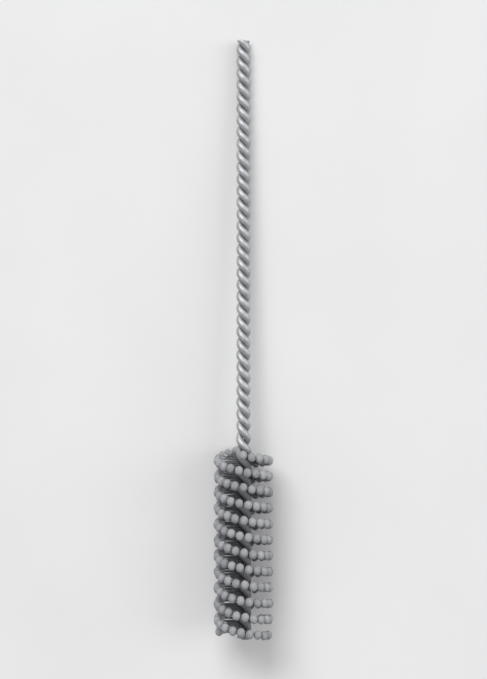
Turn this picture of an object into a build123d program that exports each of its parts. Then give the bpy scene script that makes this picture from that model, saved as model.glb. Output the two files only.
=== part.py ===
from build123d import *
from math import ceil, cos, floor, radians, sin
import os

# A flexible bead-type cylinder hone, in millimetres.
# Two steel wires are twisted left-handed into one stem.
# At the working end the twist grips straight nylon filaments that cross the axis,
# and every filament carries an abrasive globule on each of its two ends.
# The tool lies along Y: the bare end of the shank is at the origin, the brush tip is at -Y.

# Stem: two wires, twisted tighter in the bare shank than in the brush.
# A lay is the length of one full turn, counted in wire diameters.
overall_length = 203.2
wire_diameter = 2.4
wire_clearance = 0.02
shank_lay_in_wires = 3.33
brush_lay_in_wires = 4.5
transition_length = 6.0

# The round wires are drawn with flat sides and short straight stretches.
wire_sides = 8
stretches_per_turn = 7.5

# Brush: the stretch from the first filament to the last, and what is left of the stem beyond.
brush_span = 61.8
brush_lead = 1.0
tip_allowance = 1.6
brush_diameter = 20.6

# Filaments: straight strands, squeezed thinner where the wires grip them.
filament_thickness = 0.75
gripped_thickness = 0.55
filament_spacing_gap = 0.02
filament_sides = 4

# Globules: rough moulded lumps, drawn as hexagonal barrels seated on the strands' ends.
globule_deep = 2.8
globule_along = 3.0
globule_gap = 0.35
globule_end_share = 0.58
bond_gap = 0.01

# Wire paths
shank_lay = shank_lay_in_wires * wire_diameter
brush_lay = brush_lay_in_wires * wire_diameter
transition_lay = (shank_lay + brush_lay) / 2
shank_path_radius = (wire_diameter + wire_clearance) / 2
brush_path_radius = (wire_diameter + gripped_thickness) / 2 + wire_clearance

# Filament stations, counted from the shank side
filament_step = gripped_thickness + filament_spacing_gap
filament_count = floor(brush_span / filament_step + 0.5) + 1
filament_turn = 360 * filament_step / brush_lay
first_station = overall_length - tip_allowance - (filament_count - 1) * filament_step

# Stem stations, measured from the bare end of the shank
brush_start = first_station - brush_lead
shank_end = brush_start - transition_length

# Globules and the strands between them
globule_radius = (brush_diameter - globule_deep) / 2
globule_around = 2 * globule_radius * sin(radians(filament_turn / 2)) - globule_gap
filament_reach = brush_diameter / 2 - globule_deep - bond_gap

# The tool frame: its Z runs from the bare end to the brush tip, its X points up.
tool_frame = Plane(origin=(0, 0, 0), x_dir=(0, 0, 1), z_dir=(0, -1, 0))


def twist(station):
    """Degrees that the stem has turned at a station, counted from the first filament."""
    in_brush = max(station, brush_start) - first_station
    in_transition = min(max(station, shank_end), brush_start) - brush_start
    in_shank = min(station, shank_end) - shank_end
    return 360 * (in_brush / brush_lay + in_transition / transition_lay + in_shank / shank_lay)


def path_radius(station):
    """Distance of a wire's centre from the tool axis: wider where filaments lie between."""
    share = min(max((station - shank_end) / transition_length, 0), 1)
    return shank_path_radius + share * (brush_path_radius - shank_path_radius)


def wire_stations():
    """Stations of the path's corners, with a little extra at both ends for the square cut."""
    extra = wire_diameter
    zones = (
        (-extra, shank_end, shank_lay),
        (shank_end, brush_start, transition_lay),
        (brush_start, overall_length + extra, brush_lay),
    )
    stations = []
    for start, end, lay in zones:
        count = ceil(stretches_per_turn * (end - start) / lay)
        stations += [start + (end - start) * number / count for number in range(count)]
    return stations + [overall_length + extra]


def stem_wire(offset_angle):
    """One wire along its left-handed helix, cut square at both ends."""
    # The corners lie further out, so that the straight stretches keep clear of the axis.
    corner_share = 1 / cos(radians(180 / stretches_per_turn))
    corners = [
        Rot(0, 0, offset_angle - twist(station))
        * Pos(corner_share * path_radius(station), 0, station)
        for station in wire_stations()
    ]
    path = Polyline(*[corner.position for corner in corners])
    section = Plane(origin=path @ 0, z_dir=path % 0) * RegularPolygon(wire_diameter / 2, wire_sides)
    long_wire = sweep(section, path=path, transition=Transition.RIGHT)
    envelope = Cylinder(
        2 * wire_diameter, overall_length, align=(Align.CENTER, Align.CENTER, Align.MIN)
    )
    return long_wire & envelope


def flat_sided(outline, levels):
    """A solid along X through copies of one outline, each scaled by a share at its level."""
    rings = [[(x, share * y, share * z) for y, z in outline] for x, share in levels]
    flats = [rings[0], rings[-1]]
    for near, far in zip(rings, rings[1:]):
        for i in range(len(outline)):
            flats.append([near[i - 1], near[i], far[i], far[i - 1]])
    return Solid(Shell([Face(Wire.make_polygon(corners)) for corners in flats]))


def filament():
    """One strand across the axis, from globule to globule, with corners along the tool."""
    turns = [radians(90 + 360 * side / filament_sides) for side in range(filament_sides)]
    outline = [(filament_thickness / 2 * cos(turn), filament_thickness / 2 * sin(turn)) for turn in turns]
    grip_share = gripped_thickness / filament_thickness
    return flat_sided(outline, ((-filament_reach, 1), (0, grip_share), (filament_reach, 1)))


def globule():
    """A hexagonal barrel on the +X end of a filament, widest at half its depth."""
    half_around = globule_around / 2
    half_along = globule_along / 2
    outline = (
        (0, half_along),
        (half_around, half_along / 2),
        (half_around, -half_along / 2),
        (0, -half_along),
        (-half_around, -half_along / 2),
        (-half_around, half_along / 2),
    )
    inner = globule_radius - globule_deep / 2
    outer = globule_radius + globule_deep / 2
    return flat_sided(outline, ((inner, globule_end_share), (globule_radius, 1), (outer, globule_end_share)))


def station_place(index):
    """The place of one filament: its distance along the tool and its left-handed turn."""
    along = first_station + index * filament_step
    return tool_frame.location * Pos(0, 0, along) * Rot(0, 0, -index * filament_turn)


os.makedirs("parts", exist_ok=True)

for letter, side in (("a", 90), ("b", -90)):
    export_step(tool_frame.location * stem_wire(side), f"parts/stem_wire_{letter}.step")

# The brush, one node for the strands of each half turn and one for the globules on either end.
strand = filament()
lump = globule()
opposite = Rot(0, 0, 180)
half_turns = [floor(index * filament_turn / 180) for index in range(filament_count)]
for half_turn in range(half_turns[-1] + 1):
    places = [station_place(i) for i in range(filament_count) if half_turns[i] == half_turn]
    strands = Compound([place * strand for place in places])
    near_lumps = Compound([place * lump for place in places])
    far_lumps = Compound([place * opposite * lump for place in places])
    number = half_turn + 1
    export_step(strands, f"parts/filament_row_{number:02d}.step")
    export_step(near_lumps, f"parts/globule_row_a_{number:02d}.step")
    export_step(far_lumps, f"parts/globule_row_b_{number:02d}.step")
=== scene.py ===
from math import atan, cos, pi, sin

import bmesh
import bpy
import numpy as np
from mathutils import Matrix, Vector, noise


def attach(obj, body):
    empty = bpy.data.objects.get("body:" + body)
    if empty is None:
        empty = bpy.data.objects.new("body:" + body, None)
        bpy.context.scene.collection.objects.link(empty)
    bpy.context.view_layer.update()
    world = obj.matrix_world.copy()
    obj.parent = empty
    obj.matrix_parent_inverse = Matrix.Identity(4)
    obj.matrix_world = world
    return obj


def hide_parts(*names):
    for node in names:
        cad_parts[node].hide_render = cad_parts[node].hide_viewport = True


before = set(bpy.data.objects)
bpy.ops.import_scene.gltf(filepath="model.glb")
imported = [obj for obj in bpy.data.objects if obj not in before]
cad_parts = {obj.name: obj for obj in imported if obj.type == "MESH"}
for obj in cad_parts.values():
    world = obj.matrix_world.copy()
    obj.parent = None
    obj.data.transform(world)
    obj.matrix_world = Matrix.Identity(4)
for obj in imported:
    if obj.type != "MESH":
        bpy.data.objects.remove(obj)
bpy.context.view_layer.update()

# A bead-type cylinder hone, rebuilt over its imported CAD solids. Everything is in metres.
# The tool lies along Y, its bare shank end at the origin and its brush tip at -Y.
# A station is a distance along the tool from that end. Angles turn from +Z towards +X.
MM = 0.001
scene = bpy.context.scene
# Every random draw comes from this one seed.
rng = np.random.default_rng(7)

# Stem: two wires, twisted tighter in the bare shank than in the brush
OVERALL_LENGTH = 203.2 * MM
WIRE_RADIUS = 1.2 * MM
WIRE_CLEARANCE = 0.02 * MM
SHANK_LAY = 3.33 * 2 * WIRE_RADIUS
BRUSH_LAY = 4.5 * 2 * WIRE_RADIUS
TRANSITION_LENGTH = 6.0 * MM
RINGS_PER_MM = 5
WIRE_SIDES = 28
END_BEVEL = 0.14 * MM

# Soil and painted shade on the wires inside the brush: its strength, the share of it on a cut end,
# and its fade
BRUSH_SOIL_AND_SHADE = 0.9
CUT_END_SOIL_AND_SHADE = 0.4
SOIL_AND_SHADE_FADE = 2 * MM

# Brush: nylon strands across the axis, thinner where the wires grip them
BRUSH_SPAN = 61.8 * MM
BRUSH_LEAD = 1.0 * MM
TIP_ALLOWANCE = 1.6 * MM
BRUSH_RADIUS = 10.3 * MM
FILAMENT_RADIUS = 0.375 * MM
GRIPPED_RADIUS = 0.275 * MM
FILAMENT_STEP = 0.57 * MM
FILAMENT_SIDES = 12
FILAMENT_RINGS = 60
EMBEDDED_LENGTH = 1.2 * MM
GRIP_HALF_LENGTH = 2.0 * MM
# Between these distances from the axis a strand grows from its gripped thickness to its own.
THICKENING = (0.6 * GRIP_HALF_LENGTH, 1.3 * GRIP_HALF_LENGTH)

# Globule half sizes: along the filament, around the tool, along the tool
GLOBULE_HALF = (1.4 * MM, 1.45 * MM, 1.64 * MM)
GLOBULE_SHRINKAGE = 0.05
GLOBULE_SHAPES = 12
GLOBULE_SUBDIVISIONS = 5

# Collar on a globule's inner side: where it and the taper start and are complete, as shares
# of the way from the globule's middle to its inner end
COLLAR_LENGTH = 1.4 * MM
COLLAR_SPAN = (0.84, 0.99)
TAPER = 0.12
TAPER_SPAN = (0.5, 0.95)

# Relief of a globule: each pattern's fineness, and its depth as a share of the half size
SWELL_FINENESS = 1.1
SWELL_DEPTH = -0.05
LUMP_FINENESS = 3.2
LUMP_DEPTH = -0.030
LUMP_FRACTAL = (0.7, 2.0, 3)  # dimension, lacunarity and octaves
GRAIN_FINENESS = 7.5
GRAIN_REACH = 0.5
GRAIN_DEPTH = 0.034
EDGE_REACH = 0.25
EDGE_DEPTH = 0.022
GRIT_FINENESS = 19.0
GRIT_DEPTH = 0.008
MEAN_DEPTH = 0.035
GREATEST_DEPTH = 0.2
GRAIN_SHARE_OF_PIT = 0.6
EDGE_SHARE_OF_PIT = 0.4
# Each shape takes its relief from another place in the patterns.
SHAPE_SHIFT = Vector((17.0, 5.0, -9.0))

# Scatter of a hand-dipped brush
SCATTER_AROUND = 0.06 * MM
SCATTER_ALONG = 0.13 * MM
SCATTER_DEEP = 0.10 * MM
FILAMENT_BOW = 0.10 * MM
TIP_MARGIN = 0.04 * MM

# Shifts along the pattern of streaks, in mm, so that no wire or strand repeats another
WIRE_PATTERN_SHIFT = 500
FILAMENT_PATTERN_SHIFT = 40

# Worked out from the sizes above
FILAMENT_COUNT = round(BRUSH_SPAN / FILAMENT_STEP) + 1
FILAMENT_TURN = 2 * pi * FILAMENT_STEP / BRUSH_LAY
FIRST_STATION = OVERALL_LENGTH - TIP_ALLOWANCE - (FILAMENT_COUNT - 1) * FILAMENT_STEP
BRUSH_START = FIRST_STATION - BRUSH_LEAD
SHANK_END = BRUSH_START - TRANSITION_LENGTH
TRANSITION_LAY = (SHANK_LAY + BRUSH_LAY) / 2
SHANK_PATH_RADIUS = WIRE_RADIUS + WIRE_CLEARANCE / 2
BRUSH_PATH_RADIUS = WIRE_RADIUS + GRIPPED_RADIUS + WIRE_CLEARANCE
GLOBULE_RADIUS = BRUSH_RADIUS - GLOBULE_HALF[0]
FILAMENT_END = BRUSH_RADIUS - 2 * GLOBULE_HALF[0] + EMBEDDED_LENGTH


def smooth_step(low, high, value):
    """A smooth rise from 0 at the low value to 1 at the high one."""
    share = np.clip((value - low) / (high - low), 0.0, 1.0)
    return share * share * (3 - 2 * share)


def tool_point(station, radius, angle):
    """Points of the shared frame at stations, distances from the axis and angles."""
    return np.stack([radius * np.sin(angle), -station + 0 * angle, radius * np.cos(angle)], axis=-1)


def mesh_object(name, verts, faces, attributes):
    """A smooth mesh with point attributes: one number or one vector for every vertex."""
    mesh = bpy.data.meshes.new(name)
    mesh.from_pydata(verts.tolist(), [], faces)
    for key, values in attributes:
        kind, field = ("FLOAT", "value") if values.ndim == 1 else ("FLOAT_VECTOR", "vector")
        layer = mesh.attributes.new(key, kind, "POINT")
        layer.data.foreach_set(field, values.astype(np.float32).ravel())
    mesh.polygons.foreach_set("use_smooth", np.ones(len(mesh.polygons), dtype=bool))
    mesh.update()
    obj = bpy.data.objects.new(name, mesh)
    scene.collection.objects.link(obj)
    return obj


def tube_points(centres, normals, binormals, radius, sides):
    """Rings of points around a centreline, and the angles of the points on each ring."""
    around = np.linspace(0, 2 * pi, sides, endpoint=False)
    ring_cos = np.cos(around)[None, :, None]
    ring_sin = np.sin(around)[None, :, None]
    outward = ring_cos * normals[:, None, :] + ring_sin * binormals[:, None, :]
    radii = np.broadcast_to(radius, len(centres))[:, None, None]
    return centres[:, None, :] + radii * outward, around


def tube_faces(rings, sides):
    """Quads between the rings, then one flat face at each end."""
    faces = []
    for ring in range(rings - 1):
        for side in range(sides):
            a = ring * sides + side
            b = ring * sides + (side + 1) % sides
            faces.append((a, b, b + sides, a + sides))
    faces.append(tuple(reversed(range(sides))))
    faces.append(tuple((rings - 1) * sides + side for side in range(sides)))
    return faces


# Materials
def grey(level, tint=0.0):
    """A near neutral linear colour; a positive tint leans to blue."""
    return (level, level * (1 + tint * 0.3), level * (1 + tint), 1.0)


# Greys by the value of a pattern: (value, level, tint)
ZINC = ((0.3, 0.30, 0.04), (0.55, 0.42, 0.05), (0.75, 0.52, 0.04))
DRAWN_LINES = ((0.3, 0.22, 0.0), (0.7, 0.56, 0.03))
NYLON_STREAKS = ((0.3, 0.050, 0.08), (0.7, 0.100, 0.08))
COARSE_GRAINS = ((0.0, 0.19, 0.06), (0.45, 0.31, 0.06), (0.8, 0.42, 0.06), (1.0, 0.66, 0.06))
FINE_GRAINS = ((0.0, 0.20, 0.06), (0.6, 0.36, 0.06), (1.0, 0.58, 0.06))
PAPER = ((0.35, 0.565, 0.0), (0.65, 0.58, 0.0))
# Colour of the soil and of the painted shade on the wires
DIRT_AND_SHADE = (0.120, 0.118, 0.118, 1.0)
GRIT_DUST = grey(0.20, 0.05)
BOND = grey(0.13, 0.04)


class Nodes:
    """A short way to write one material's node tree."""

    def __init__(self, name):
        self.material = bpy.data.materials.new(name)
        self.material.use_nodes = True
        self.tree = self.material.node_tree
        self.tree.nodes.clear()
        self.shader = self.tree.nodes.new("ShaderNodeBsdfPrincipled")
        out = self.tree.nodes.new("ShaderNodeOutputMaterial")
        self.tree.links.new(self.shader.outputs[0], out.inputs[0])

    def feed(self, socket, value):
        """Link a value that comes out of a node, or set a plain one."""
        if isinstance(value, bpy.types.NodeSocket):
            self.tree.links.new(value, socket)
        else:
            socket.default_value = value

    def node(self, kind, inputs, **settings):
        made = self.tree.nodes.new("ShaderNode" + kind)
        for key, value in settings.items():
            setattr(made, key, value)
        for key, value in inputs.items():
            self.feed(made.inputs[key], value)
        return made

    def surface(self, **inputs):
        """Feed the shader's sockets, each named with _ for a space, and return the material."""
        for name, value in inputs.items():
            self.feed(self.shader.inputs[name.replace("_", " ")], value)
        return self.material

    def attribute(self, name, output="Fac"):
        return self.node("Attribute", {}, attribute_name=name).outputs[output]

    def object_mm(self):
        """Places on the object in millimetres."""
        place = self.node("TexCoord", {}).outputs["Object"]
        return self.node("VectorMath", {0: place, 3: 1 / MM}, operation="SCALE").outputs[0]

    def math(self, operation, a, b, clamp=False):
        return self.node("Math", {0: a, 1: b}, operation=operation, use_clamp=clamp).outputs[0]

    def scaled(self, value, by, plus=0.0):
        product = self.math("MULTIPLY", value, by)
        return self.math("ADD", product, plus) if plus else product

    def remap(self, value, low=0.0, high=1.0, to_low=0.0, to_high=1.0, kind="LINEAR"):
        """Map a range of values onto another one, held at both ends."""
        inputs = {0: value, 1: low, 2: high, 3: to_low, 4: to_high}
        return self.node("MapRange", inputs, interpolation_type=kind).outputs[0]

    def stretched(self, vector, factors):
        return self.node("VectorMath", {0: vector, 1: factors}, operation="MULTIPLY").outputs[0]

    def shifted(self, vector, shift):
        return self.node("VectorMath", {0: vector, 1: shift}, operation="ADD").outputs[0]

    def part(self, color, index):
        return self.node("SeparateColor", {0: color}).outputs[index]

    def noise(self, vector, scale, detail, roughness):
        inputs = {"Vector": vector, "Scale": scale, "Detail": detail, "Roughness": roughness}
        return self.node("TexNoise", inputs).outputs["Fac"]

    def cells(self, vector, scale):
        """Grains of a scale: their random colour, and the distance from their middle."""
        made = self.node("TexVoronoi", {"Vector": vector, "Scale": scale, "Randomness": 1.0})
        return made.outputs["Color"], made.outputs["Distance"]

    def ramp(self, value, stops):
        made = self.node("ValToRGB", {"Fac": value})
        elements = made.color_ramp.elements
        while len(elements) < len(stops):
            elements.new(0.5)
        for element, (place, level, tint) in zip(elements, stops):
            element.position = place
            element.color = grey(level, tint)
        return made.outputs["Color"]

    def mix(self, factor, a, b):
        made = self.node("Mix", {}, data_type="RGBA")
        for key, value in (("Factor", factor), (6, a), (7, b)):
            self.feed(made.inputs[key], value)
        return made.outputs[2]

    def bump(self, height, strength, distance, **under):
        """A bump, over another one where Normal is given."""
        inputs = {"Height": height, "Strength": strength, "Distance": distance, **under}
        return self.node("Bump", inputs).outputs[0]


def steel_material():
    """Galvanised drawn wire: lengthwise drawing lines and dull patches, painted shade in the
    grooves, and soil with painted shade inside the brush.
    """
    n = Nodes("stem_steel")
    place = n.object_mm()
    strand = n.attribute("strand", "Vector")
    lines = n.noise(n.stretched(strand, (0.35, 9.0, 9.0)), scale=2.2, detail=4.0, roughness=0.6)
    patches = n.noise(place, scale=0.55, detail=4.0, roughness=0.6)
    specks = n.noise(place, scale=6.0, detail=2.0, roughness=0.5)

    # Painted shade in the grooves, where a wire faces the other one
    inward = n.scaled(n.node("SeparateXYZ", {0: strand}).outputs[1], by=-1.0)
    groove_shade_mask = n.remap(inward, low=0.06, high=0.55, kind="SMOOTHSTEP")
    groove_shade = n.math("MULTIPLY", groove_shade_mask, n.scaled(patches, by=0.8, plus=0.35), clamp=True)

    # Soil and painted shade inside the brush, rubbed thin along the drawing lines
    rubbed = n.math("ADD", lines, n.scaled(specks, by=0.5))
    scuffs = n.remap(rubbed, low=0.62, high=0.95, to_high=0.42)
    cover = n.math("SUBTRACT", n.scaled(patches, by=0.5, plus=0.70), scuffs)
    soiled_and_shaded = n.math("MULTIPLY", n.attribute("soil_and_shade"), cover, clamp=True)

    # The painted groove shade and the brush's soil and painted shade, whichever is stronger, darken
    # the wire.
    dirt_and_shade = n.math("MAXIMUM", groove_shade, soiled_and_shaded)
    clean = n.mix(0.35, n.ramp(patches, ZINC), n.ramp(lines, DRAWN_LINES))
    uneven = n.math("ADD", n.scaled(patches, by=0.22), n.scaled(lines, by=0.14))
    drawn = n.bump(lines, strength=0.25, distance=0.03 * MM)
    return n.surface(
        Base_Color=n.mix(dirt_and_shade, clean, DIRT_AND_SHADE),
        Metallic=n.math("SUBTRACT", 0.82, n.scaled(dirt_and_shade, by=0.6)),
        Roughness=n.math("ADD", n.math("ADD", uneven, 0.40), n.scaled(dirt_and_shade, by=0.3)),
        Normal=n.bump(specks, strength=0.12, distance=0.04 * MM, Normal=drawn),
    )


def nylon_material():
    """Dark grey nylon strand, slightly streaked, dusted with grit towards the globules."""
    n = Nodes("nylon")
    strand = n.stretched(n.attribute("strand", "Vector"), (0.4, 6.0, 6.0))
    streaks = n.noise(strand, scale=1.5, detail=3.0, roughness=0.55)
    powder = n.noise(n.object_mm(), scale=9.0, detail=3.0, roughness=0.65)
    reach = n.remap(n.attribute("reach"), low=0.45)
    dust = n.math("MULTIPLY", n.math("POWER", reach, 2.5), n.scaled(powder, by=1.1), clamp=True)
    return n.surface(
        Base_Color=n.mix(dust, n.ramp(streaks, NYLON_STREAKS), GRIT_DUST),
        Roughness=n.scaled(dust, by=0.3, plus=0.5),
        Specular_IOR_Level=0.3,
        Normal=n.bump(streaks, strength=0.3, distance=0.04 * MM),
    )


def abrasive_material():
    """Moulded grit: pale grains of mixed brightness in a darker grey bond."""
    n = Nodes("abrasive")
    place = n.object_mm()
    bent = n.shifted(place, n.noise(place, scale=2.4, detail=2.0, roughness=0.5))
    grain_color, grain_distance = n.cells(bent, scale=5.2)
    fine_color, fine_distance = n.cells(place, scale=12.0)
    tone = n.part(grain_color, 0)
    grains = n.ramp(tone, COARSE_GRAINS)
    mixed = n.mix(0.45, grains, n.ramp(n.part(fine_color, 1), FINE_GRAINS))

    # Bond shows between the grains and in the pits, and each globule has its own brightness.
    gaps = n.remap(grain_distance, low=0.35, high=0.75)
    pits = n.remap(n.attribute("pit"), low=0.15, high=0.75)
    dark = n.scaled(n.math("MAXIMUM", gaps, pits), by=0.6)
    brightness = n.remap(n.attribute("tone"), to_low=0.82, to_high=1.14)
    colors = {"Value": brightness, "Color": n.mix(dark, mixed, BOND)}

    coarse = n.bump(n.math("SUBTRACT", 1.0, grain_distance), strength=0.6, distance=0.08 * MM)
    fine = n.math("SUBTRACT", 1.0, fine_distance)
    return n.surface(
        Base_Color=n.node("HueSaturation", colors).outputs[0],
        Roughness=n.remap(tone, to_low=0.86, to_high=0.46),
        Normal=n.bump(fine, strength=0.5, distance=0.03 * MM, Normal=coarse),
    )


def floor_material():
    """Pale matt paper."""
    n = Nodes("floor_paper")
    place = n.object_mm()
    clouds = n.noise(place, scale=0.02, detail=3.0, roughness=0.5)
    fibres = n.noise(place, scale=3.0, detail=2.0, roughness=0.5)
    return n.surface(
        Base_Color=n.ramp(clouds, PAPER),
        Roughness=0.85,
        Normal=n.bump(fibres, strength=0.05, distance=0.05 * MM),
    )


STEEL = steel_material()
NYLON = nylon_material()
ABRASIVE = abrasive_material()


def finish_piece(obj, material, node):
    """Give a piece its material, and say what it rides on and which CAD node it replaces."""
    obj.data.materials.append(material)
    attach(obj, "root")
    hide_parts(node)


# Stem wires
def wire_angle(station):
    """Angle of the wire pair at a station: the brush lay, then a blend, then the shank lay."""
    in_brush = np.maximum(station, BRUSH_START) - FIRST_STATION
    in_transition = np.clip(station, SHANK_END, BRUSH_START) - BRUSH_START
    in_shank = np.minimum(station, SHANK_END) - SHANK_END
    return 2 * pi * (in_brush / BRUSH_LAY + in_transition / TRANSITION_LAY + in_shank / SHANK_LAY)


def long_wire(side):
    """One round wire along its helix, longer than the tool: its rings and their measures."""
    extra = 2 * WIRE_RADIUS
    count = int((OVERALL_LENGTH + 2 * extra) / MM * RINGS_PER_MM)
    station = np.linspace(-extra, OVERALL_LENGTH + extra, count)
    angle = wire_angle(station) + side * pi / 2
    share = np.clip((station - SHANK_END) / TRANSITION_LENGTH, 0, 1)
    path_radius = SHANK_PATH_RADIUS + share * (BRUSH_PATH_RADIUS - SHANK_PATH_RADIUS)
    centres = tool_point(station, path_radius, angle)
    tangents = np.gradient(centres, axis=0)
    tangents /= np.linalg.norm(tangents, axis=1, keepdims=True)
    outward = tool_point(0 * station, 1.0 + 0 * station, angle)
    outward -= tangents * np.sum(outward * tangents, axis=1, keepdims=True)
    outward /= np.linalg.norm(outward, axis=1, keepdims=True)
    binormals = np.cross(tangents, outward)
    rings, around = tube_points(centres, outward, binormals, WIRE_RADIUS, WIRE_SIDES)
    steps = np.linalg.norm(np.diff(centres, axis=0), axis=1)
    travel = np.concatenate([[0], np.cumsum(steps)]) / MM
    return station, rings, around, travel


def stem_wire(letter, side):
    """One wire with both ends cut square, their sharp edge just broken."""
    station, rings, around, travel = long_wire(side)

    # Every lengthwise line starts and stops where it meets the two end planes.
    depths = -rings[:, :, 1]
    first = np.array([np.interp(0, depths[:, i], station) for i in range(WIRE_SIDES)])
    last = np.array([np.interp(OVERALL_LENGTH, depths[:, i], station) for i in range(WIRE_SIDES)])
    shares = np.linspace(0, 1, len(station))[:, None]
    cut = first + END_BEVEL + shares * (last - first - 2 * END_BEVEL)
    cut = np.concatenate([first[None], cut, last[None]])
    verts = np.empty((len(cut), WIRE_SIDES, 3))
    strand = np.empty((len(cut), WIRE_SIDES, 3))
    for i in range(WIRE_SIDES):
        for axis in range(3):
            verts[:, i, axis] = np.interp(cut[:, i], station, rings[:, i, axis])
        strand[:, i, 0] = np.interp(cut[:, i], station, travel) + WIRE_PATTERN_SHIFT * side
        strand[:, i, 1:] = cos(around[i]), sin(around[i])
    # Soil and painted shade on the wire inside the brush, fading in towards the brush
    soil_and_shade = BRUSH_SOIL_AND_SHADE * smooth_step(BRUSH_START - SOIL_AND_SHADE_FADE, FIRST_STATION + SOIL_AND_SHADE_FADE, cut)

    # The outermost rings are drawn in by the bevel and lie in the end planes.
    for ring, place in ((0, 0.0), (-1, -OVERALL_LENGTH)):
        middle = verts[ring].mean(axis=0)
        verts[ring] = middle + (verts[ring] - middle) * (1 - END_BEVEL / WIRE_RADIUS)
        verts[ring, :, 1] = place
        strand[ring, :, 1:] = 0
        # A cut end carries a smaller share of the soil and painted shade.
        soil_and_shade[ring] *= CUT_END_SOIL_AND_SHADE

    attributes = [("strand", strand.reshape(-1, 3)), ("soil_and_shade", soil_and_shade.ravel())]
    faces = tube_faces(len(cut), WIRE_SIDES)
    obj = mesh_object(f"wire_{letter}", verts.reshape(-1, 3), faces, attributes)
    smooth = np.zeros(len(faces), dtype=bool)
    smooth[WIRE_SIDES : -WIRE_SIDES - 2] = True
    obj.data.polygons.foreach_set("use_smooth", smooth)
    finish_piece(obj, STEEL, f"stem_wire_{letter}")


# Filaments: end 0 of each one carries a globule of row a, end 1 one of row b
lump_around = rng.uniform(-SCATTER_AROUND, SCATTER_AROUND, (FILAMENT_COUNT, 2))
lump_along = rng.uniform(-SCATTER_ALONG, SCATTER_ALONG, (FILAMENT_COUNT, 2))
lump_deep = rng.uniform(0, SCATTER_DEEP, (FILAMENT_COUNT, 2))
# The globules at the tip stay within the overall length.
tip_room = TIP_ALLOWANCE - GLOBULE_HALF[2] + FILAMENT_STEP * np.arange(FILAMENT_COUNT)[::-1]
lump_along = np.minimum(lump_along, tip_room[:, None] - TIP_MARGIN)
strand_bow = rng.normal(0, FILAMENT_BOW, (FILAMENT_COUNT, 2, 2))


def station_axes(index, end):
    """The station of a filament, and the radial, around and along directions of one end."""
    station = FIRST_STATION + index * FILAMENT_STEP
    angle = 2 * pi * (station - FIRST_STATION) / BRUSH_LAY + end * pi
    radial = np.array([sin(angle), 0.0, cos(angle)])
    around = np.array([cos(angle), 0.0, -sin(angle)])
    along = np.array([0.0, -1.0, 0.0])
    return station, radial, around, along


def filament_points(index):
    """One strand from globule to globule: straight in the grip, slightly bowed outside it."""
    station, radial, around, along = station_axes(index, 0)
    reach = np.linspace(-1, 1, FILAMENT_RINGS)
    distance = reach * FILAMENT_END
    end = (reach < 0).astype(int)
    free = smooth_step(GRIP_HALF_LENGTH, GLOBULE_RADIUS, np.abs(distance))
    free_share = (np.abs(distance) - GRIP_HALF_LENGTH) / (GLOBULE_RADIUS - GRIP_HALF_LENGTH)
    bow = np.sin(pi * np.clip(free_share, 0, 1))
    sign = np.where(reach < 0, -1.0, 1.0)
    shift_around = sign * lump_around[index, end] * free + strand_bow[index, end, 0] * bow
    shift_along = lump_along[index, end] * free + strand_bow[index, end, 1] * bow
    centres = station * along + distance[:, None] * radial
    centres = centres + shift_around[:, None] * around + shift_along[:, None] * along
    thickening = smooth_step(*THICKENING, np.abs(distance))
    radius = GRIPPED_RADIUS + thickening * (FILAMENT_RADIUS - GRIPPED_RADIUS)
    normals = np.tile(along, (FILAMENT_RINGS, 1))
    binormals = np.tile(around, (FILAMENT_RINGS, 1))
    rings, turns = tube_points(centres, normals, binormals, radius, FILAMENT_SIDES)
    travel = distance / MM + FILAMENT_PATTERN_SHIFT * index
    strand = [
        np.repeat(travel, FILAMENT_SIDES),
        np.tile(np.cos(turns), FILAMENT_RINGS),
        np.tile(np.sin(turns), FILAMENT_RINGS),
    ]
    return rings.reshape(-1, 3), np.stack(strand, axis=-1), np.repeat(np.abs(reach), FILAMENT_SIDES)


def filament_row(number, row):
    """The strands of one half turn as one piece."""
    points, strands, reaches, faces = [], [], [], []
    strand_faces = tube_faces(FILAMENT_RINGS, FILAMENT_SIDES)
    for place, index in enumerate(row):
        made, strand, reach = filament_points(index)
        start = place * len(made)
        points.append(made)
        strands.append(strand)
        reaches.append(reach)
        faces += [tuple(start + corner for corner in face) for face in strand_faces]
    attributes = [("strand", np.concatenate(strands)), ("reach", np.concatenate(reaches))]
    obj = mesh_object(f"strands_{number:02d}", np.concatenate(points), faces, attributes)
    finish_piece(obj, NYLON, f"filament_row_{number:02d}")


# Globules
def unit_ball():
    """Points and triangles of an even ball of radius 1."""
    bm = bmesh.new()
    bmesh.ops.create_icosphere(bm, subdivisions=GLOBULE_SUBDIVISIONS, radius=1.0)
    verts = np.array([v.co[:] for v in bm.verts])
    faces = np.array([[v.index for v in f.verts] for f in bm.faces])
    bm.free()
    return verts, faces


def relief(direction, offset):
    """Depth of the surface at a direction of the unit ball, and how deep in a pit it lies."""
    swell = noise.noise(direction * SWELL_FINENESS + offset)
    lumps = noise.fractal(direction * LUMP_FINENESS + offset, *LUMP_FRACTAL)
    nearest, second = noise.voronoi(direction * GRAIN_FINENESS + offset)[0][:2]
    grain = min(nearest / GRAIN_REACH, 1.0)
    edge = 1 - min((second - nearest) / EDGE_REACH, 1.0)
    grit = noise.noise(direction * GRIT_FINENESS + offset)
    depth = SWELL_DEPTH * swell + LUMP_DEPTH * lumps + GRAIN_DEPTH * grain + GRIT_DEPTH * grit
    return depth + EDGE_DEPTH * edge, GRAIN_SHARE_OF_PIT * grain + EDGE_SHARE_OF_PIT * edge


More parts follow.
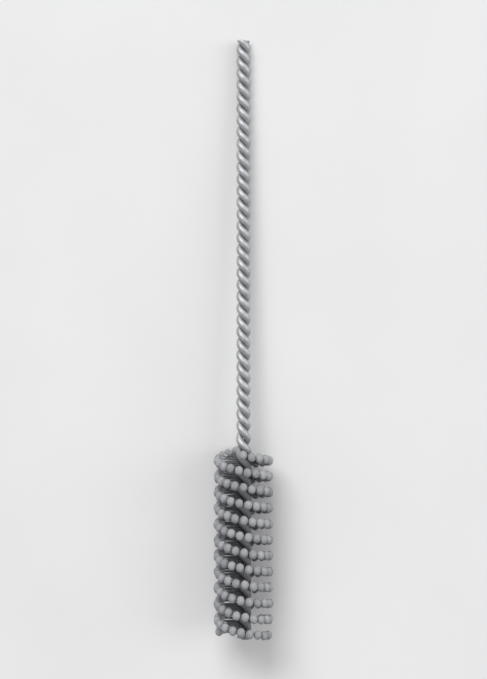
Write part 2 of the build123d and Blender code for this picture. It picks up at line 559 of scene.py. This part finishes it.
def globule_shape(ball, seed):
    """One moulded lump: an uneven ovoid, crusted with grains, with a short collar inside."""
    offset = SHAPE_SHIFT * seed
    depth, pit = np.array([relief(Vector(direction), offset) for direction in ball]).T
    depth += MEAN_DEPTH - depth.mean()
    scale = 1 - np.clip(depth, 0.0, GREATEST_DEPTH)
    shape = ball * scale[:, None] * np.array(GLOBULE_HALF)
    inner_side = -ball[:, 0]
    shape[:, 0] -= COLLAR_LENGTH * smooth_step(*COLLAR_SPAN, inner_side)
    shape[:, 1:] *= (1 - TAPER * smooth_step(*TAPER_SPAN, inner_side))[:, None]
    return shape, np.clip(pit, 0, 1)


def globule_row(letter, end, number, row, shapes, ball_faces):
    """The globules on one end of a row's strands as one piece, each turned and sized at random."""
    points, pits, tones, faces = [], [], [], []
    for place, index in enumerate(row):
        shape, pit = shapes[rng.integers(len(shapes))]
        flip = rng.choice([-1.0, 1.0], 2)
        turned = shape * np.array([1.0, flip[0], flip[1]])
        size = 1 - rng.uniform(0, GLOBULE_SHRINKAGE)
        station, radial, around, along = station_axes(index, end)
        radius = GLOBULE_RADIUS - lump_deep[index, end] - (1 - size) * GLOBULE_HALF[0] / 2
        centre = station * along + radius * radial
        centre = centre + lump_around[index, end] * around + lump_along[index, end] * along
        points.append(centre + (turned * size) @ np.stack([radial, around, along]))
        pits.append(pit)
        tones.append(np.full(len(shape), rng.uniform(0, 1)))
        mirrored = flip[0] * flip[1] < 0
        faces.append((ball_faces[:, ::-1] if mirrored else ball_faces) + place * len(shape))
    attributes = [("pit", np.concatenate(pits)), ("tone", np.concatenate(tones))]
    name = f"globules_{letter}_{number:02d}"
    obj = mesh_object(name, np.concatenate(points), np.concatenate(faces).tolist(), attributes)
    finish_piece(obj, ABRASIVE, f"globule_row_{letter}_{number:02d}")


for letter, side in (("a", -1), ("b", 1)):
    stem_wire(letter, side)

ball, ball_faces = unit_ball()
# The radial, around and along directions form a left-handed set, so the faces are turned.
ball_faces = ball_faces[:, ::-1]
shapes = [globule_shape(ball, seed) for seed in range(GLOBULE_SHAPES)]
# One row holds the filaments of a half turn; the allowance keeps rounding errors out of it.
ALLOWANCE = 1e-6
half_turns = [int(index * FILAMENT_TURN / pi + ALLOWANCE) for index in range(FILAMENT_COUNT)]
for number in range(1, half_turns[-1] + 2):
    row = [index for index in range(FILAMENT_COUNT) if half_turns[index] == number - 1]
    filament_row(number, row)
    for end, letter in enumerate("ab"):
        globule_row(letter, end, number, row, shapes, ball_faces)

# Floor: the hone leans on its brush rim and on the end of its shank
FLOOR_SIZE = 10.0
FLOOR_GAP = 0.02 * MM
shank_foot = Vector((0, 0, -(SHANK_PATH_RADIUS + WIRE_RADIUS)))
brush_foot = Vector((0, -(FIRST_STATION - GLOBULE_HALF[2]), -BRUSH_RADIUS))
lean = atan((shank_foot.z - brush_foot.z) / (shank_foot.y - brush_foot.y))
floor_middle = (shank_foot + brush_foot) / 2 - Vector((0, 0, FLOOR_GAP))
floor_turn = Matrix.Rotation(lean, 3, "X")
floor_signs = ((-1, -1), (1, -1), (1, 1), (-1, 1))
floor_corners = [Vector((x, y, 0)) * FLOOR_SIZE / 2 for x, y in floor_signs]
floor_verts = np.array([list(floor_middle + floor_turn @ corner) for corner in floor_corners])
floor = mesh_object("floor", floor_verts, [(0, 1, 2, 3)], [])
floor.data.materials.append(floor_material())

# Camera: straight down on the tool, as the photograph is taken, its foot beside the shank
CAMERA_DISTANCE = 0.50
CAMERA_FOOT = (10.8 * MM, -82.3 * MM)
TOOL_SHARE_OF_FRAME = 0.88
FRAME_HEIGHT = OVERALL_LENGTH / TOOL_SHARE_OF_FRAME
SENSOR_HEIGHT = 24.0
tool_middle = (0.0, -OVERALL_LENGTH / 2, 0.0)

camera_data = bpy.data.cameras.new("camera")
camera_data.sensor_fit = "VERTICAL"
camera_data.sensor_height = SENSOR_HEIGHT
camera_data.lens = SENSOR_HEIGHT * CAMERA_DISTANCE / FRAME_HEIGHT
camera_data.shift_x = (tool_middle[0] - CAMERA_FOOT[0]) / FRAME_HEIGHT
camera_data.shift_y = (tool_middle[1] - CAMERA_FOOT[1]) / FRAME_HEIGHT
camera_data.clip_start = 0.05
camera_data.clip_end = 20.0
camera = bpy.data.objects.new("camera", camera_data)
camera.location = (*CAMERA_FOOT, CAMERA_DISTANCE)
scene.collection.objects.link(camera)
bpy.context.scene.camera = camera

# Light: a broad key from beyond the shank, a weaker one at the side, and a pale room.
# A light is a name, a place, a width and height, a power in watts and a colour.
LIGHTS = (
    ("key", (-1.20, 3.25, 3.45), (3.30, 2.25), 252.0, (1.0, 1.0, 1.0)),
    ("side", (3.90, 0.50, 2.25), (2.40, 3.90), 103.0, (0.97, 0.98, 1.0)),
)
ROOM_STRENGTH = 0.74
ROOM_BLUE = 1.01
# The room's brightness by how far a direction points up: at the horizon, low down and overhead
ROOM_LEVELS = ((0.02, 0.85), (0.30, 0.50), (0.90, 1.0))


def area_light(name, place, size, power, color):
    """A soft light aimed at the middle of the tool."""
    data = bpy.data.lights.new(name, "AREA")
    data.shape = "RECTANGLE"
    data.size, data.size_y = size
    data.energy = power
    data.color = color
    obj = bpy.data.objects.new(name, data)
    obj.location = place
    aim = Vector(tool_middle) - Vector(place)
    obj.rotation_euler = aim.to_track_quat("-Z", "Y").to_euler()
    scene.collection.objects.link(obj)


def room():
    """Pale surroundings, brightest overhead."""
    world = bpy.data.worlds.new("room")
    world.use_nodes = True
    tree = world.node_tree
    background = tree.nodes["Background"]
    background.inputs[1].default_value = ROOM_STRENGTH
    direction = tree.nodes.new("ShaderNodeTexCoord").outputs["Generated"]
    split = tree.nodes.new("ShaderNodeSeparateXYZ")
    ramp = tree.nodes.new("ShaderNodeValToRGB")
    tree.links.new(direction, split.inputs[0])
    tree.links.new(split.outputs[2], ramp.inputs[0])
    tree.links.new(ramp.outputs[0], background.inputs[0])
    stops = ramp.color_ramp.elements
    stops.new(0.5)
    for stop, (height, level) in zip(stops, ROOM_LEVELS):
        stop.position = height
        stop.color = (level, level, level * ROOM_BLUE, 1.0)
    scene.world = world


for light in LIGHTS:
    area_light(*light)
room()
scene.view_settings.view_transform = "Standard"
